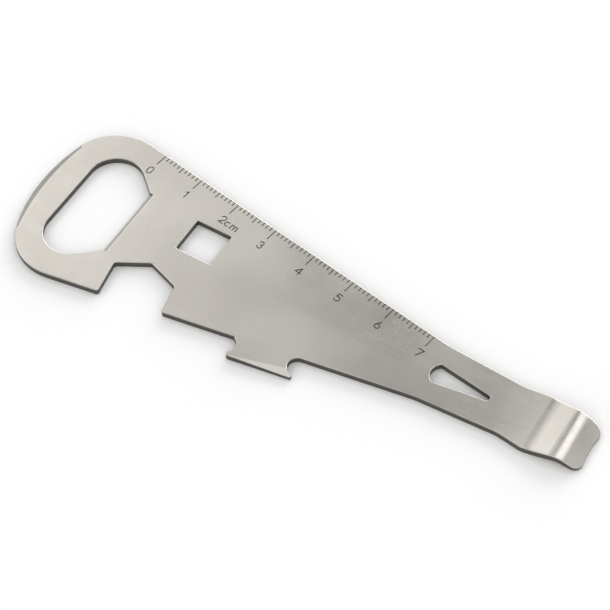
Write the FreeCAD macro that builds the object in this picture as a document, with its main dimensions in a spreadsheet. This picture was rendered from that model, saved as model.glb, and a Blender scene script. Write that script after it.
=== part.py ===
import FreeCAD, Part
import math
import os
import Sketcher

# A pocket multi tool: one blank of stainless sheet, punched to a wedge outline with a
# round head, ground at its working edges, engraved with a ruler and bent at the tip.
# Millimetres and degrees. +X runs along the tool to the bent tip, +Y points to the ruler
# edge, +Z is up, and the origin is under the middle of the tool on the surface it lies on.

DIMENSIONS = {
    # sheet and overall outline
    "thickness": 1.5,
    "half_length": 61.9,
    "strip_end_x": 64.0,
    "blank_width": 44.0,
    "taper_angle": 9.25,          # each long edge leans in by this much
    "apex_x": 69.77,              # where the two long edges would meet
    "head_end_radius": 35.0,
    "head_corner_radius": 11.05,
    "head_ruler_corner_x": -56.5,
    "head_notch_corner_x": -54.83,
    # neck and tip, all symmetric about the long axis
    "neck_x": 28.5,
    "neck_radius": 18.0,
    "waist_x": 45.2,
    "waist_width": 11.62,
    "waist_radius": 8.0,
    "shoulder_x": 50.4,
    "shoulder_width": 12.95,
    "shoulder_radius": 5.0,
    "tip_x": 62.35,
    "tip_width": 10.5,
    "tip_corner_radius": 2.0,
    "tip_end_radius": 19.0,
    # bends of the tip, seen from the side
    "rise_start_x": 51.7,
    "rise_angle": 12.0,
    "rise_radius": 9.6,
    "ridge_x": 57.43,
    "fall_angle": 24.0,
    "ridge_radius": 5.5,
    # bottle opener window in the head
    "window_left_x": -55.05,
    "window_lip_x": -41.3,
    "window_lip_half": 8.45,
    "window_corner_y": 7.5,
    "window_corner_radius": 5.9,
    "window_corner_angle": 47.0,
    # square drive hole
    "drive_x": -25.08,
    "drive_y": 3.52,
    "drive_side": 8.0,
    "drive_corner_radius": 0.3,
    # spanner notch, measured along the notch edge and in from it
    "jaw_back": -38.55,
    "jaw_front": -25.1,
    "jaw_back_depth": 7.6,
    "jaw_front_depth": 6.6,
    "notch_peak": -31.65,
    "notch_depth": 10.1,
    "jaw_outer_radius": 0.6,
    "jaw_inner_radius": 0.9,
    # screwdriver tab with a round undercut on each side
    "tab_back": -9.55,
    "tab_front": 3.8,
    "tab_height": 4.55,
    "tab_corner_radius": 0.35,
    "undercut_radius": 2.0,
    "undercut_back": -10.6,
    "undercut_front": 4.25,
    # nail slot
    "slot_back_x": 29.5,
    "slot_back_width": 4.4,
    "slot_back_radius": 2.75,
    "slot_front_x": 40.7,
    "slot_front_width": 1.16,
    "slot_corner_radius": 0.5,
    # ground bevels
    "scraper_radius": 52.0,
    "scraper_centre_x": -8.75,
    "scraper_centre_y": 2.0,
    "scraper_turn": 2.85,         # the middle of the bevel lies a little towards the notch side
    "scraper_sweep": 26.3,
    "scraper_angle": 21.8,
    "scraper_run": 3.0,
    "scraper_blend_radius": 1.3,
    "lip_bevel_angle": 38.0,
    "lip_bevel_run": 0.5,
    "lip_bevel_overrun": 0.3,     # the wheel runs out past the lip's edge
    "lip_blend_radius": 1.0,
    "tab_bevel_start": 0.1,
    "tab_bevel_skew": 6.5,        # the bevel widens towards the tip end of the tab
    "tab_bevel_angle": 18.0,
    "tab_bevel_run": 3.0,
    "tab_bevel_reach": 15.0,
    # softened rims
    "rim_radius": 0.2,
    # engraved ruler
    "ruler_start_x": -43.85,
    "ruler_margin": 0.25,
    "tick_width": 0.22,
    "tick_short": 1.0,
    "tick_middle": 1.6,
    "tick_long": 2.8,
    "engraving_depth": 0.12,
    "centimetres": 7,
    "digit_height": 1.75,
    "digit_stroke": 0.24,
    "digit_foot": 5.9,
    "digit_pitch": 1.5,
}


class Size:
    """A length with its value and with the sheet expression that it comes from."""

    def __init__(self, value, text):
        self.value = value
        self.text = text

    def _join(self, sign, other, value):
        text = other.text if isinstance(other, Size) else str(other)
        return Size(value, "(%s %s %s)" % (self.text, sign, text))

    def __add__(self, other):
        return self._join("+", other, self.value + number(other))

    def __sub__(self, other):
        return self._join("-", other, self.value - number(other))

    def __mul__(self, other):
        return self._join("*", other, self.value * number(other))

    def __truediv__(self, other):
        return self._join("/", other, self.value / number(other))

    def __neg__(self):
        return Size(-self.value, "(-1 * %s)" % self.text)


def number(value):
    return value.value if isinstance(value, Size) else value


def sine(angle):
    return Size(math.sin(math.radians(angle.value)), "sin(%s)" % angle.text)


def cosine(angle):
    return Size(math.cos(math.radians(angle.value)), "cos(%s)" % angle.text)


def tangent(angle):
    return Size(math.tan(math.radians(angle.value)), "tan(%s)" % angle.text)


doc = FreeCAD.newDocument("multi_tool")
sheet = doc.addObject("Spreadsheet::Sheet", "dims")
for row, (name, value) in enumerate(DIMENSIONS.items(), start=1):
    sheet.set("A%d" % row, name)
    sheet.set("B%d" % row, str(value))
    sheet.setAlias("B%d" % row, name)
doc.recompute()


def dim(name):
    return Size(float(sheet.get(name)), "dims." + name)


TAPER = dim("taper_angle")
THICKNESS = dim("thickness")

# Tests that pick edges: how near counts as the same place, and how short counts as none.
SAME_PLACE = 0.05
NO_LENGTH = 0.01
# The upward part of a face's unit normal is below the first on a wall, above the second on a
# broad face.
WALL_LIFT = 0.05
FACE_LIFT = 0.5
# Cutters stand this far above the face that they cut.
CLEARANCE = 1
body = doc.addObject("PartDesign::Body", "plate_body")


def wedge_half_width(x):
    """Half width of the straight-sided wedge at the place x along the tool."""
    return (dim("apex_x") - x) * tangent(TAPER)


def from_notch_edge(along, inward):
    """A point given along the straight notch edge, and in from it."""
    across = inward - dim("apex_x") * sine(TAPER)
    x = along * cosine(TAPER) - across * sine(TAPER)
    y = along * sine(TAPER) + across * cosine(TAPER)
    return x, y


def new_sketch(name, role, offset=None, turn_axis=None, turn=None):
    """A sketch on one of the body's origin planes, moved and turned by sheet values."""
    sketch = body.newObject("Sketcher::SketchObject", name)
    plane = [f for f in body.Origin.OriginFeatures if f.Role == role][0]
    sketch.AttachmentSupport = [(plane, "")]
    sketch.MapMode = "FlatFace"
    if turn is not None:
        rotation = FreeCAD.Rotation(FreeCAD.Vector(*turn_axis), turn.value)
        sketch.AttachmentOffset = FreeCAD.Placement(FreeCAD.Vector(), rotation)
        sketch.setExpression("AttachmentOffset.Rotation.Angle", turn.text)
    for letter, length in zip("xyz", offset or ()):
        if isinstance(length, Size):
            sketch.setExpression("AttachmentOffset.Base." + letter, length.text)
    return sketch


def fix_point(sketch, edge, end, point):
    """Hold one end of an edge at sheet distances from the sketch's origin."""
    for kind, length in zip(("DistanceX", "DistanceY"), point):
        index = sketch.addConstraint(Sketcher.Constraint(kind, edge, end, number(length)))
        if isinstance(length, Size):
            sketch.setExpression("Constraints[%d]" % index, length.text)


def draw_outline(sketch, corners):
    """A closed outline, counterclockwise, of (x, y) or (x, y, radius) corners.

    A radius makes the edge that leaves the corner an arc: outward bulging when it is
    positive, hollow when it is negative.
    """
    ends = []
    for corner, following in zip(corners, corners[1:] + corners[:1]):
        start = FreeCAD.Vector(number(corner[0]), number(corner[1]), 0)
        finish = FreeCAD.Vector(number(following[0]), number(following[1]), 0)
        if len(corner) == 2:
            edge = sketch.addGeometry(Part.LineSegment(start, finish), False)
            ends.append((edge, 1, 2))
        else:
            radius = abs(corner[2].value)
            hollow = corner[2].value < 0
            chord = finish - start
            outward = FreeCAD.Vector(chord.y, -chord.x, 0).normalize()
            bulge = radius - math.sqrt(radius ** 2 - chord.Length ** 2 / 4)
            middle = (start + finish) / 2 + outward * (-bulge if hollow else bulge)
            edge = sketch.addGeometry(Part.Arc(start, middle, finish), False)
            ends.append((edge, 2, 1) if hollow else (edge, 1, 2))
            index = sketch.addConstraint(Sketcher.Constraint("Radius", edge, radius))
            text = (-corner[2]).text if hollow else corner[2].text
            sketch.setExpression("Constraints[%d]" % index, text)
    for (edge, _, finish), (following, start, _) in zip(ends, ends[1:] + ends[:1]):
        sketch.addConstraint(Sketcher.Constraint("Coincident", edge, finish, following, start))
    for (edge, start, _), corner in zip(ends, corners):
        fix_point(sketch, edge, start, corner[:2])


def pocket(name, sketch, depth=None):
    """Cut a sketch right through, or to a depth on the side below the sketch."""
    cut = body.newObject("PartDesign::Pocket", name)
    cut.Profile = sketch
    if depth is None:
        cut.Type = 1
        cut.Midplane = True
    else:
        cut.setExpression("Length", depth.text)
    before = body.Shape.Volume
    doc.recompute()
    if not cut.Shape.Volume < before:
        raise RuntimeError(name + " removes nothing")
    return cut


def round_edges(name, radius, chosen):
    """Round every edge of the body that the chosen test accepts."""
    edges = body.Shape.Edges
    names = ["Edge%d" % (i + 1) for i, edge in enumerate(edges) if chosen(edge)]
    if not names:
        raise RuntimeError(name + " finds no edge")
    before = body.Tip
    fillet = body.newObject("PartDesign::Fillet", name)
    fillet.Base = (before, names)
    fillet.setExpression("Radius", radius.text)
    doc.recompute()
    return fillet


def is_upright(edge):
    box = edge.BoundBox
    return max(box.XLength, box.YLength) < NO_LENGTH


def upright_near(points):
    """Test for an upright edge that stands at one of the points."""
    def test(edge):
        centre = edge.BoundBox.Center
        return is_upright(edge) and any(
            math.hypot(centre.x - number(x), centre.y - number(y)) < SAME_PLACE for x, y in points)
    return test


def mirrored(x, half_width):
    return [(x, half_width), (x, -half_width)]


# ---- the strip of sheet, bent up and then down at the tip

def make_bent_strip():
    half_length = dim("half_length")
    bend_x = dim("rise_start_x")
    ridge_x = dim("ridge_x")
    rise = dim("rise_angle")
    fall = dim("fall_angle")
    ridge_z = THICKNESS + (ridge_x - bend_x) * tangent(rise)
    end_x = dim("strip_end_x")
    end_z = ridge_z - (end_x - ridge_x) * tangent(fall)
    under_bend_x = bend_x + THICKNESS * tangent(rise / 2)
    half_turn = (rise + fall) / 2
    half_lean = (fall - rise) / 2
    offset = THICKNESS / cosine(half_turn)
    under_ridge_x = ridge_x - offset * sine(half_lean)
    under_ridge_z = ridge_z - offset * cosine(half_lean)
    # the underside of the thinned tip comes down to the surface just at the tool's end
    under_end_z = -(under_ridge_z * (end_x - half_length) / (half_length - under_ridge_x))
    level = Size(0.0, "0")
    sketch = new_sketch("strip_side_view", "XZ_Plane")
    draw_outline(sketch, [
        (-end_x, level),
        (under_bend_x, level),
        (under_ridge_x, under_ridge_z),
        (end_x, under_end_z),
        (end_x, end_z),
        (ridge_x, ridge_z),
        (bend_x, THICKNESS),
        (-end_x, THICKNESS),
    ])
    strip = body.newObject("PartDesign::Pad", "bent_strip")
    strip.Profile = sketch
    strip.Midplane = True
    strip.setExpression("Length", "dims.blank_width")
    doc.recompute()

    def across_at(x, z):
        def test(edge):
            box = edge.BoundBox
            off = math.hypot(box.Center.x - number(x), box.Center.z - number(z))
            return off < SAME_PLACE and box.YLength > THICKNESS.value
        return test

    round_edges("bend_top", dim("rise_radius"), across_at(bend_x, THICKNESS))
    round_edges("bend_under", dim("rise_radius") + THICKNESS, across_at(under_bend_x, level))
    round_edges("ridge_top", dim("ridge_radius"), across_at(ridge_x, ridge_z))
    round_edges("ridge_under", dim("ridge_radius") - THICKNESS,
                across_at(under_ridge_x, under_ridge_z))


# ---- the outline of the blank

def head_corners():
    ruler_x = dim("head_ruler_corner_x")
    notch_x = dim("head_notch_corner_x")
    return (ruler_x, wedge_half_width(ruler_x)), (notch_x, -wedge_half_width(notch_x))


def neck_corner():
    return dim("neck_x"), wedge_half_width(dim("neck_x"))


def notch_corners():
    level = Size(0.0, "0")
    return [
        from_notch_edge(dim("jaw_back"), level),
        from_notch_edge(dim("jaw_back"), dim("jaw_back_depth")),
        from_notch_edge(dim("notch_peak"), dim("notch_depth")),
        from_notch_edge(dim("jaw_front"), dim("jaw_front_depth")),
        from_notch_edge(dim("jaw_front"), level),
    ]


def tab_corners():
    level = Size(0.0, "0")
    return [
        from_notch_edge(dim("tab_back"), level),
        from_notch_edge(dim("tab_back"), -dim("tab_height")),
        from_notch_edge(dim("tab_front"), -dim("tab_height")),
        from_notch_edge(dim("tab_front"), level),
    ]


def cut_outline():
    head_ruler, head_notch = head_corners()
    neck = neck_corner()
    waist = (dim("waist_x"), dim("waist_width") / 2)
    shoulder = (dim("shoulder_x"), dim("shoulder_width") / 2)
    tip = (dim("tip_x"), dim("tip_width") / 2)
    sketch = new_sketch("blank_outline", "XY_Plane")
    notch_side = [(x, -y) for x, y in (neck, waist, shoulder)]
    tip_end = [(tip[0], -tip[1], -dim("tip_end_radius")), tip]
    draw_outline(sketch, [head_notch] + notch_corners() + tab_corners() + notch_side
                 + tip_end + [shoulder, waist, neck]
                 + [(head_ruler[0], head_ruler[1], dim("head_end_radius"))])
    far = dim("half_length") + dim("blank_width")
    side = dim("blank_width")
    draw_outline(sketch, [(-far, -side), (far, -side), (far, side), (-far, side)])
    pocket("blank_cut", sketch)

    round_edges("head_corners", dim("head_corner_radius"), upright_near([head_ruler, head_notch]))
    round_edges("neck_blend", dim("neck_radius"), upright_near(mirrored(*neck)))
    round_edges("waist_blend", dim("waist_radius"), upright_near(mirrored(*waist)))
    round_edges("shoulder_blend", dim("shoulder_radius"), upright_near(mirrored(*shoulder)))
    round_edges("tip_corners", dim("tip_corner_radius"), upright_near(mirrored(*tip)))
    notch = notch_corners()
    round_edges("jaw_ends", dim("jaw_outer_radius"), upright_near([notch[0], notch[4]]))
    round_edges("jaw_roots", dim("jaw_inner_radius"), upright_near(notch[1:4]))
    round_edges("tab_ends", dim("tab_corner_radius"), upright_near(tab_corners()[1:3]))


def cut_undercuts():
    sketch = new_sketch("undercut_circles", "XY_Plane")
    radius = dim("undercut_radius")
    for along in (dim("undercut_back"), dim("undercut_front")):
        centre = from_notch_edge(along, -radius)
        circle = Part.Circle(FreeCAD.Vector(centre[0].value, centre[1].value, 0),
                             FreeCAD.Vector(0, 0, 1), radius.value)
        edge = sketch.addGeometry(circle, False)
        fix_point(sketch, edge, 3, centre)
        index = sketch.addConstraint(Sketcher.Constraint("Radius", edge, radius.value))
        sketch.setExpression("Constraints[%d]" % index, radius.text)
    pocket("tab_undercuts", sketch)


def cut_opener_window():
    left = dim("window_left_x")
    lip = dim("window_lip_x")
    lip_half = dim("window_lip_half")
    corner_y = dim("window_corner_y")
    radius = dim("window_corner_radius")
    turn = dim("window_corner_angle")
    arc_end_x = left + radius + radius * cosine(turn)
    arc_end_y = corner_y + radius * sine(turn)
    sketch = new_sketch("window_outline", "XY_Plane")
    draw_outline(sketch, [
        (left, -corner_y, radius),
        (arc_end_x, -arc_end_y),
        (lip, -lip_half),
        (lip, lip_half),
        (arc_end_x, arc_end_y, radius),
        (left, corner_y),
    ])
    pocket("opener_window", sketch)


def cut_drive_hole():
    x = dim("drive_x")
    y = dim("drive_y")
    half = dim("drive_side") / 2
    corners = [(x - half, y - half), (x + half, y - half), (x + half, y + half), (x - half, y + half)]
    sketch = new_sketch("drive_square", "XY_Plane")
    draw_outline(sketch, corners)
    pocket("drive_hole", sketch)
    round_edges("drive_corners", dim("drive_corner_radius"), upright_near(corners))


def cut_nail_slot():
    back = (dim("slot_back_x"), dim("slot_back_width") / 2)
    front = (dim("slot_front_x"), dim("slot_front_width") / 2)
    sketch = new_sketch("slot_outline", "XY_Plane")
    draw_outline(sketch, [
        (back[0], -back[1]),
        (front[0], -front[1]),
        front,
        (back[0], back[1], dim("slot_back_radius")),
    ])
    pocket("nail_slot", sketch)
    corners = mirrored(*back) + mirrored(*front)
    round_edges("slot_corners", dim("slot_corner_radius"), upright_near(corners))


def soften_rims():
    """Round the upper and lower rims, which tumbling leaves soft on the real tool."""
    def on_a_rim(edge):
        faces = body.Shape.ancestorsOfType(edge, Part.Face)
        lift = [abs(face.normalAt(*face.Surface.parameter(edge.CenterOfMass)).z) for face in faces]
        return not is_upright(edge) and min(lift) < WALL_LIFT and max(lift) > FACE_LIFT
    round_edges("soft_rims", dim("rim_radius"), on_a_rim)


# ---- ground bevels

def draw_bevel(sketch, inner, angle, run, blend_radius):
    """The profile of what a grinding wheel takes off: a slope that falls towards -X and
    meets the face at inner in a small rounded blend."""
    bend = inner - blend_radius * sine(angle)
    bend_z = THICKNESS - blend_radius + blend_radius * cosine(angle)
    outer = bend - run
    above = THICKNESS + CLEARANCE
    draw_outline(sketch, [
        (outer, bend_z - run * tangent(angle)),
        (bend, bend_z, -blend_radius),
        (inner, THICKNESS),
        (inner, above),
        (outer, above),
    ])


def grind_scraper():
    """A shallow cone ground on the head's end: a crescent bevel that is its scraper edge."""
    sketch = new_sketch("scraper_profile", "XZ_Plane",
                        (dim("scraper_centre_x"), None, -dim("scraper_centre_y")),
                        (0, 1, 0), dim("scraper_turn"))
    draw_bevel(sketch, -dim("scraper_radius"), dim("scraper_angle"), dim("scraper_run"),
               dim("scraper_blend_radius"))
    groove = body.newObject("PartDesign::Groove", "scraper_bevel")
    groove.Profile = sketch
    groove.ReferenceAxis = (sketch, ["V_Axis"])
    groove.Midplane = True
    groove.setExpression("Angle", "dims.scraper_sweep")
    before = body.Shape.Volume
    doc.recompute()
    if not groove.Shape.Volume < before:
        raise RuntimeError("the scraper bevel removes nothing")


def grind_lip():
    angle = dim("lip_bevel_angle")
    run = dim("lip_bevel_run")
    blend_radius = dim("lip_blend_radius")
    inner = dim("window_lip_x") + run + blend_radius * sine(angle)
    sketch = new_sketch("lip_profile", "XZ_Plane")
    draw_bevel(sketch, inner, angle, run + dim("lip_bevel_overrun"), blend_radius)
    cut = body.newObject("PartDesign::Pocket", "lip_bevel")
    cut.Profile = sketch
    cut.Midplane = True
    cut.setExpression("Length", "2 * dims.window_lip_half")
    doc.recompute()


def grind_tab():
    corner = tab_corners()[1]
    sketch = new_sketch("tab_profile", "YZ_Plane", (corner[1], None, corner[0]),
                        (0, 1, 0), TAPER + dim("tab_bevel_skew"))
    run = dim("tab_bevel_run")
    above = THICKNESS + CLEARANCE
    start = dim("tab_bevel_start")
    draw_outline(sketch, [
        (start - run, THICKNESS - run * tangent(dim("tab_bevel_angle"))),
        (start, THICKNESS),
        (start, above),
        (start - run, above),
    ])
    cut = body.newObject("PartDesign::Pocket", "tab_bevel")
    cut.Profile = sketch
    cut.Midplane = True
    cut.setExpression("Length", "2 * dims.tab_bevel_reach")
    doc.recompute()


# ---- the engraved ruler

def ruler_start():
    x = dim("ruler_start_x")
    return x, wedge_half_width(x), THICKNESS


def engrave_ticks(name, length, millimetres):
    """One row of equal ticks, the given number of millimetres apart."""
    sketch = new_sketch(name + "_tick", "XY_Plane", ruler_start(), (0, 0, 1), -TAPER)
    half = dim("tick_width") / 2
    top = -dim("ruler_margin")
    draw_outline(sketch, [(-half, top - length), (half, top - length), (half, top), (-half, top)])
    tick = pocket(name + "_engraving", sketch, dim("engraving_depth"))
    row = body.newObject("PartDesign::LinearPattern", name + "_row")
    row.Originals = [tick]
    row.Direction = (sketch, ["H_Axis"])
    row.setExpression("Length", "dims.centimetres * 10")
    row.setExpression("Occurrences", "dims.centimetres * 10 / %d + 1" % millimetres)
    body.Tip = row
    doc.recompute()


# Engraved characters, one unit high, drawn as the engraving stylus moves. A line joins
# two points; an arc has its centre, its radius and the angles where it starts and ends.
GLYPHS = {
    "0": [("arc", 0.35, 0.70, 0.30, 0, 180), ("arc", 0.35, 0.30, 0.30, 180, 360),
          ("line", 0.05, 0.30, 0.05, 0.70), ("line", 0.65, 0.30, 0.65, 0.70)],
    "1": [("line", 0.40, 0.00, 0.40, 1.00), ("line", 0.40, 1.00, 0.15, 0.78)],
    "2": [("arc", 0.35, 0.70, 0.30, -35, 170), ("line", 0.60, 0.53, 0.05, 0.00),
          ("line", 0.05, 0.00, 0.68, 0.00)],
    "3": [("arc", 0.35, 0.76, 0.24, -90, 160), ("arc", 0.35, 0.27, 0.27, -160, 90)],
    "4": [("line", 0.52, 0.00, 0.52, 1.00), ("line", 0.52, 1.00, 0.00, 0.30),
          ("line", 0.00, 0.30, 0.72, 0.30)],
    "5": [("line", 0.62, 1.00, 0.14, 1.00), ("line", 0.14, 1.00, 0.10, 0.56),
          ("arc", 0.33, 0.32, 0.32, -150, 130)],
    "6": [("arc", 0.35, 0.30, 0.30, 0, 360), ("line", 0.09, 0.45, 0.45, 1.00)],
    "7": [("line", 0.02, 1.00, 0.68, 1.00), ("line", 0.68, 1.00, 0.25, 0.00)],
    "c": [("arc", 0.32, 0.30, 0.30, 50, 310)],
    "m": [("line", 0.05, 0.00, 0.05, 0.60), ("line", 0.45, 0.00, 0.45, 0.40),
          ("line", 0.85, 0.00, 0.85, 0.40), ("arc", 0.25, 0.40, 0.20, 0, 180),
          ("arc", 0.65, 0.40, 0.20, 0, 180)],
}
GLYPH_WIDTH = 0.7


def straight_stroke(x1, y1, x2, y2, width, depth):
    along = FreeCAD.Vector(x2 - x1, y2 - y1, 0)
    stroke = Part.makeBox(along.Length, width, depth, FreeCAD.Vector(0, -width / 2, -depth))
    angle = math.degrees(math.atan2(along.y, along.x))
    stroke.Placement = FreeCAD.Placement(FreeCAD.Vector(x1, y1, 0), FreeCAD.Rotation(angle, 0, 0))
    return stroke, [(x1, y1), (x2, y2)]


def curved_stroke(x, y, radius, start, finish, width, depth):
    place = FreeCAD.Vector(x, y, -depth)
    up = FreeCAD.Vector(0, 0, 1)
    outer = Part.makeCylinder(radius + width / 2, depth, place, up, finish - start)
    inner = Part.makeCylinder(radius - width / 2, depth, place, up, finish - start)
    ring = outer.cut(inner)
    ring.rotate(place, up, start)
    ends = [(x + radius * math.cos(math.radians(angle)), y + radius * math.sin(math.radians(angle)))
            for angle in (start, finish)]
    return ring, ends


def glyph_cutter(character, height, width, depth):
    """The cutter of one character, its foot on the x axis, with round stroke ends."""
    pieces = []
    for kind, *values in GLYPHS[character]:
        if kind == "line":
            lengths = [value * height for value in values]
            stroke, ends = straight_stroke(*lengths, width, depth)
        else:
            lengths = [value * height for value in values[:3]]
            stroke, ends = curved_stroke(*lengths, *values[3:], width, depth)
        pieces.append(stroke)
        for x, y in ends:
            pieces.append(Part.makeCylinder(width / 2, depth, FreeCAD.Vector(x, y, -depth)))
    return pieces[0].multiFuse(pieces[1:])


def digit_cutters():
    """One cutter for all the ruler's digits, each centred on its long tick."""
    height = sheet.get("digit_height")
    width = sheet.get("digit_stroke")
    depth = sheet.get("engraving_depth")
    half_width = GLYPH_WIDTH * height / 2
    foot = -sheet.get("digit_foot")
    pieces = []
    for centimetre in range(int(sheet.get("centimetres")) + 1):
        left = centimetre * 10 - half_width
        text = "2cm" if centimetre == 2 else str(centimetre)
        for place, character in enumerate(text):
            glyph = glyph_cutter(character, height, width, depth)
            glyph.translate(FreeCAD.Vector(left + place * sheet.get("digit_pitch"), foot, 0))
            pieces.append(glyph)
    cutters = Part.makeCompound(pieces)
    x, y, z = [number(length) for length in ruler_start()]
    cutters.Placement = FreeCAD.Placement(FreeCAD.Vector(x, y, z), FreeCAD.Rotation(-TAPER.value, 0, 0))
    return cutters


def engrave_digits():
    cutters = doc.addObject("Part::Feature", "digit_cutters")
    cutters.Shape = digit_cutters()
    engraved = doc.addObject("Part::Cut", "tool_plate")
    engraved.Label = "tool_plate"
    engraved.Base = body
    engraved.Tool = cutters
    doc.recompute()
    return engraved


def check_document():
    for item in doc.Objects:
        if "Invalid" in item.State or "Error" in item.State:
            raise RuntimeError("%s failed: %s" % (item.Name, item.State))


def export(piece):
    shape = piece.Shape
    if shape.isNull() or not shape.isValid() or len(shape.Solids) != 1:
        raise RuntimeError(piece.Label + " is not one valid solid")
    os.makedirs("parts", exist_ok=True)
    shape.exportStep(os.path.join("parts", piece.Label + ".step"))
    box = shape.BoundBox
    print(piece.Label, "volume %.1f" % shape.Volume, "box", box)


make_bent_strip()
cut_outline()
cut_undercuts()
cut_opener_window()
cut_drive_hole()
cut_nail_slot()
soften_rims()
grind_scraper()
grind_lip()
grind_tab()
engrave_ticks("millimetre", dim("tick_short"), 1)
engrave_ticks("half_centimetre", dim("tick_middle"), 5)
engrave_ticks("centimetre", dim("tick_long"), 10)
tool_plate = engrave_digits()
check_document()
export(tool_plate)
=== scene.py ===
import math

import bpy
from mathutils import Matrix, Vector


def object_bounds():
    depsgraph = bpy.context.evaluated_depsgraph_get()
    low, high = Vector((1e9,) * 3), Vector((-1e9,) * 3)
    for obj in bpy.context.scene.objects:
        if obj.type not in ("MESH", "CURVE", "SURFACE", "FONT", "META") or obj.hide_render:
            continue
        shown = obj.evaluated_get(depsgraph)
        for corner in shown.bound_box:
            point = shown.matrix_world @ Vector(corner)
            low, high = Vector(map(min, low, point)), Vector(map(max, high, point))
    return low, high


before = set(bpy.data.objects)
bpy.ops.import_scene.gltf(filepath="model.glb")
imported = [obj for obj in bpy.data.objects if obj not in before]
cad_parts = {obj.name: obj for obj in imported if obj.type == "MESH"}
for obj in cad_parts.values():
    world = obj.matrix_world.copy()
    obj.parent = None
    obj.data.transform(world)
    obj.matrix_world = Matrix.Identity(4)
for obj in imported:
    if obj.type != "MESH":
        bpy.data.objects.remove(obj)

# The tool is one stamped and bent plate of satin stainless steel, lying on a pale studio floor.
MM = 0.001
PLATE = "tool_plate"
CAD_LOW, CAD_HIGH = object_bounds()
CENTRE = (CAD_LOW + CAD_HIGH) / 2
LENGTH = (CAD_HIGH - CAD_LOW).x

# The sheet is flat over most of its length, and only the tip rises above the flat face.
SHEET_THICKNESS = 1.5 * MM
ENGRAVING_DEPTH = 0.12 * MM

# A painted dark reflection: a soft darker area on the face near the screwdriver tab.
PAINTED_REFLECTION_PLACE = (27.5 * MM, -11 * MM, SHEET_THICKNESS)
PAINTED_REFLECTION_REACH = 24 * MM

# Widths of the cloudy patches and streaks in the finish.
CLOUD_WIDTH = 18 * MM
MOTTLE_WIDTH = 3 * MM
STREAK_WIDTH = 1 * MM
STREAK_STRETCH = 30.0
PAPER_CLOUD_WIDTH = 30 * MM
WAVE_HEIGHT = 0.03 * MM

# The upward part of the normal where a rim starts to look sheared and take painted shade, and where it is
# fully sheared and shaded.
RIM_STARTS = 0.75
RIM_ENDS = 0.45

SMOOTHEST = 0.24
ROUGHEST = 0.28
MOTTLE_ROUGHNESS = 0.02
STREAK_ROUGHNESS = 0.015
SHEARED_ROUGHNESS = 0.15

LIGHT_STEEL = (0.640, 0.612, 0.566, 1)
DULL_STEEL = (0.560, 0.533, 0.490, 1)
# Colour of the painted dark reflection near the screwdriver tab.
DARK_REFLECTION = (0.455, 0.440, 0.412, 1)
# The sheared walls' dark colour below is partly their own sheared finish and partly painted shade.
SHEARED_SHADED_STEEL = (0.115, 0.110, 0.100, 1)
# Painted shade for the floors of the engraved marks.
PAINTED_ENGRAVING_SHADE = (0.17, 0.16, 0.145, 1)
WHITE_PAPER = (0.955, 0.955, 0.950, 1)
WHITEST_PAPER = (0.970, 0.970, 0.966, 1)

FLOOR_SIZE = 40 * LENGTH

# The camera looks down at the plate from in front and to the right.
VIEW_AZIMUTH = 31.08
VIEW_ELEVATION = 54.2
VIEW_DISTANCE = 0.3496
LENS = 106.5
SENSOR_WIDTH = 36.0
AIM = Vector((0.1 * MM, 0.7 * MM, SHEET_THICKNESS))

# Radiance of each panel of light, set so that the white floor comes out almost pure white.
AMBIENT = 0.02
CEILING = 1.25
FRONT_WALL = 1.45
BACK_FOOT = 4.2
LEFT_WALL = 1.50
LEFT_FOOT = 0.5
BACK_STRIP = 3.35
RIGHT_WALL = 0.68


# ---------------------------------------------------------------- node helpers

def new_material(name):
    material = bpy.data.materials.new(name)
    material.use_nodes = True
    material.node_tree.nodes.clear()
    return material, material.node_tree


def add_node(tree, kind, inputs=None, **settings):
    """A shader node with its settings and inputs; an input that is a socket is linked."""
    node = tree.nodes.new(kind)
    for name, value in settings.items():
        setattr(node, name, value)
    for key, value in (inputs or {}).items():
        if isinstance(value, bpy.types.NodeSocket):
            tree.links.new(value, node.inputs[key])
        else:
            node.inputs[key].default_value = value
    return node


def math_of(tree, operation, first, second=0.0, third=0.0):
    node = add_node(tree, "ShaderNodeMath", {0: first, 1: second, 2: third}, operation=operation)
    return node.outputs[0]


def ramp_between(tree, value, low, high, to_low=0.0, to_high=1.0):
    """A smooth step of value from low to high, mapped on to_low to to_high."""
    node = add_node(
        tree,
        "ShaderNodeMapRange",
        {"Value": value, "From Min": low, "From Max": high, "To Min": to_low, "To Max": to_high},
        interpolation_type="SMOOTHSTEP",
    )
    return node.outputs["Result"]


def mix_colour(tree, factor, first, second):
    node = add_node(tree, "ShaderNodeMix", data_type="RGBA")
    for socket, value in ((node.inputs[0], factor), (node.inputs[6], first), (node.inputs[7], second)):
        if isinstance(value, bpy.types.NodeSocket):
            tree.links.new(value, socket)
        else:
            socket.default_value = value
    return node.outputs[2]


def noise(tree, place, period, detail=1.0):
    """Noise whose blotches are about one period wide, in metres."""
    node = add_node(
        tree,
        "ShaderNodeTexNoise",
        {"Vector": place, "Scale": 1.0 / period, "Detail": detail},
    )
    return node.outputs["Fac"]


def stretched(tree, place, stretch):
    """Coordinates stretched along X, for streaks that run along the tool."""
    node = add_node(tree, "ShaderNodeMapping", {"Vector": place, "Scale": (1.0 / stretch, 1, 1)})
    return node.outputs["Vector"]


# ---------------------------------------------------------------- materials

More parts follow.
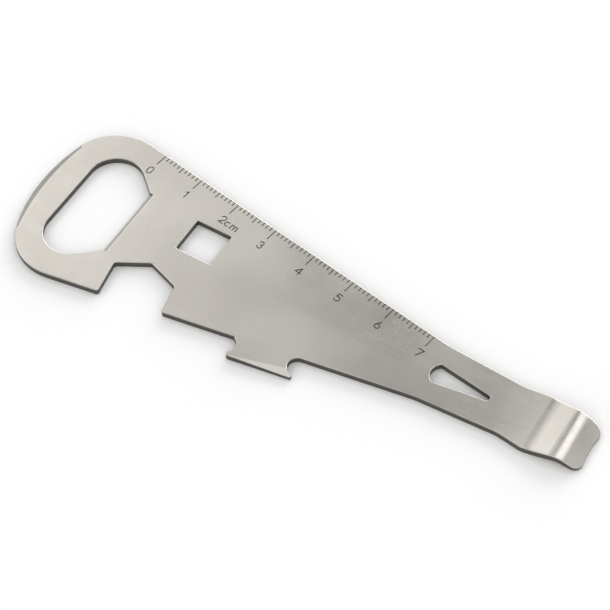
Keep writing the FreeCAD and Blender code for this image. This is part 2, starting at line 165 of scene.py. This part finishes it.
def satin_steel():
    """Satin stainless steel: a cloudy warm grey with faint streaks, punched edges darkened partly by their
    sheared finish and partly by painted shade, painted shade in the engraved marks, and a painted dark
    reflection near the tab.
    """
    material, tree = new_material("satin_steel_finish")
    place = add_node(tree, "ShaderNodeTexCoord").outputs["Object"]
    normal = add_node(tree, "ShaderNodeNewGeometry").outputs["True Normal"]
    up = math_of(tree, "ABSOLUTE", add_node(tree, "ShaderNodeSeparateXYZ", {0: normal}).outputs["Z"])
    height = add_node(tree, "ShaderNodeSeparateXYZ", {0: place}).outputs["Z"]

    clouds = noise(tree, place, CLOUD_WIDTH)
    mottle = noise(tree, place, MOTTLE_WIDTH)

    face = mix_colour(tree, ramp_between(tree, clouds, 0.3, 0.7), DULL_STEEL, LIGHT_STEEL)
    face = mix_colour(tree, ramp_between(tree, mottle, 0.3, 0.75, 0.0, 0.25), face, DULL_STEEL)

    # Painted dark reflection: the face darkens towards one spot near the screwdriver tab and fades out over
    # a given reach.
    away = add_node(tree, "ShaderNodeVectorMath", {0: place, 1: PAINTED_REFLECTION_PLACE}, operation="DISTANCE")
    painted_reflection_nearness = ramp_between(tree, away.outputs["Value"], PAINTED_REFLECTION_REACH, 0.0)
    face = mix_colour(tree, painted_reflection_nearness, face, DARK_REFLECTION)

    # The punched edges are sheared and rough, and their darker colour is partly sheared finish and partly
    # painted shade; the floor of each engraved mark gets painted shade.
    wall = ramp_between(tree, up, RIM_STARTS, RIM_ENDS)
    face = mix_colour(tree, wall, face, SHEARED_SHADED_STEEL)
    # Painted shade: the flat floor of each engraved mark, just below the face, is darkened where shade falls
    # in the recess.
    below_face = ramp_between(
        tree, height, SHEET_THICKNESS - 0.3 * ENGRAVING_DEPTH, SHEET_THICKNESS - 0.8 * ENGRAVING_DEPTH
    )
    above_edge = ramp_between(
        tree, height, SHEET_THICKNESS - 1.5 * ENGRAVING_DEPTH, SHEET_THICKNESS - 1.2 * ENGRAVING_DEPTH
    )
    lies_flat = ramp_between(tree, up, 0.985, 0.998)
    engraving_shade = math_of(tree, "MULTIPLY", math_of(tree, "MULTIPLY", below_face, above_edge), lies_flat)
    face = mix_colour(tree, engraving_shade, face, PAINTED_ENGRAVING_SHADE)

    rough = ramp_between(tree, clouds, 0.25, 0.75, SMOOTHEST, ROUGHEST)
    rough = math_of(tree, "MULTIPLY_ADD", ramp_between(tree, mottle, 0.3, 0.7), MOTTLE_ROUGHNESS, rough)
    rough = math_of(tree, "MULTIPLY_ADD", wall, SHEARED_ROUGHNESS, rough)

    streaks = noise(tree, stretched(tree, place, STREAK_STRETCH), STREAK_WIDTH)
    rough = math_of(tree, "MULTIPLY_ADD", ramp_between(tree, streaks, 0.3, 0.7), STREAK_ROUGHNESS, rough)

    waved = add_node(tree, "ShaderNodeBump", {"Height": clouds, "Strength": 0.25, "Distance": WAVE_HEIGHT})
    shader = add_node(
        tree,
        "ShaderNodeBsdfPrincipled",
        {"Base Color": face, "Metallic": 1.0, "Roughness": rough, "Normal": waved.outputs[0]},
    )
    output = add_node(tree, "ShaderNodeOutputMaterial", {"Surface": shader.outputs[0]})
    output.is_active_output = True
    return material


def studio_floor_finish():
    """Plain matt white, with the faintest mottling of a paper sweep."""
    material, tree = new_material("studio_floor_finish")
    place = add_node(tree, "ShaderNodeTexCoord").outputs["Object"]
    paper = noise(tree, place, PAPER_CLOUD_WIDTH, detail=3.0)
    colour = mix_colour(tree, paper, WHITE_PAPER, WHITEST_PAPER)
    shader = add_node(tree, "ShaderNodeBsdfPrincipled", {"Base Color": colour, "Roughness": 0.9})
    shader.inputs["Specular IOR Level"].default_value = 0.0
    add_node(tree, "ShaderNodeOutputMaterial", {"Surface": shader.outputs[0]})
    return material


# ---------------------------------------------------------------- stage

def direction_to(azimuth, elevation):
    """From the object towards a place at this azimuth and elevation. Azimuth 0 is along -Y, and 90 is +X."""
    a = math.radians(azimuth)
    e = math.radians(elevation)
    return Vector((math.sin(a) * math.cos(e), -math.cos(a) * math.cos(e), math.sin(e)))


def make_floor():
    half = FLOOR_SIZE / 2
    corners = [(x * half, y * half, 0) for x, y in ((-1, -1), (1, -1), (1, 1), (-1, 1))]
    mesh = bpy.data.meshes.new("studio_floor")
    mesh.from_pydata(corners, [], [(0, 1, 2, 3)])
    mesh.materials.append(studio_floor_finish())
    floor = bpy.data.objects.new("studio_floor", mesh)
    floor.location = (CENTRE.x, CENTRE.y, CAD_LOW.z)
    bpy.context.scene.collection.objects.link(floor)


def soft_step(tree, value, edge, softness):
    return ramp_between(tree, value, edge - softness / 2, edge + softness / 2)


def soft_panel(tree, azimuth, elevation, sides, side_softness, heights, height_softness, radiance):
    """A panel of light between two azimuths and two elevations, with edges that fade out."""
    left = soft_step(tree, azimuth, sides[0], side_softness)
    right = soft_step(tree, azimuth, sides[1], side_softness)
    bottom = soft_step(tree, elevation, heights[0], height_softness)
    top = soft_step(tree, elevation, heights[1], height_softness)
    across = math_of(tree, "SUBTRACT", left, right)
    upward = math_of(tree, "SUBTRACT", bottom, top)
    return math_of(tree, "MULTIPLY", math_of(tree, "MULTIPLY", across, upward), radiance)


def make_surroundings():
    """A studio with soft panels of white light round the object and above it.

    Azimuth is 0 behind the object, along +Y, and grows towards +X; both angles are in degrees.
    """
    world = bpy.data.worlds.new("studio")
    world.use_nodes = True
    tree = world.node_tree
    tree.nodes.clear()
    place = add_node(tree, "ShaderNodeTexCoord").outputs["Generated"]
    part = add_node(tree, "ShaderNodeSeparateXYZ", {0: place}).outputs
    azimuth = math_of(tree, "DEGREES", math_of(tree, "ARCTAN2", part["X"], part["Y"]))
    elevation = math_of(tree, "DEGREES", math_of(tree, "ARCSINE", part["Z"]))
    to_the_side = math_of(tree, "ABSOLUTE", azimuth)
    # Each row: sides and their softness, heights and their softness, all in degrees, and radiance.
    panels = [
        soft_panel(tree, to_the_side, elevation, (-40, 260), 30, (70, 110), 16, CEILING),
        soft_panel(tree, to_the_side, elevation, (110, 260), 30, (-20, 46), 22, FRONT_WALL),
        soft_panel(tree, azimuth, elevation, (-112, -33), 31, (33, 60), 8, LEFT_WALL),
        soft_panel(tree, azimuth, elevation, (-110, -31), 31, (-20, 33), 8, LEFT_FOOT),
        soft_panel(tree, azimuth, elevation, (-14, 44), 8.5, (54, 63), 8, BACK_STRIP),
        soft_panel(tree, azimuth, elevation, (-35, 35), 20, (-20, 32), 12, BACK_FOOT),
        soft_panel(tree, azimuth, elevation, (40, 110), 20, (-20, 60), 12, RIGHT_WALL),
    ]
    total = AMBIENT
    for panel in panels:
        total = math_of(tree, "ADD", panel, total)
    background = add_node(tree, "ShaderNodeBackground", {"Color": (1, 1, 1, 1), "Strength": total})
    add_node(tree, "ShaderNodeOutputWorld", {"Surface": background.outputs[0]})
    bpy.context.scene.world = world


def make_camera():
    data = bpy.data.cameras.new("camera")
    data.sensor_width = SENSOR_WIDTH
    data.lens = LENS
    data.clip_start = 0.01
    data.clip_end = 50.0
    data.dof.use_dof = False
    camera = bpy.data.objects.new("camera", data)
    towards = direction_to(VIEW_AZIMUTH, VIEW_ELEVATION)
    camera.location = AIM + VIEW_DISTANCE * towards
    camera.rotation_euler = towards.to_track_quat("Z", "Y").to_euler()
    bpy.context.scene.collection.objects.link(camera)
    bpy.context.scene.camera = camera


make_camera()
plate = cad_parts[PLATE]
plate.data.materials.clear()
plate.data.materials.append(satin_steel())
make_floor()
make_surroundings()
bpy.context.scene.view_settings.view_transform = "Standard"
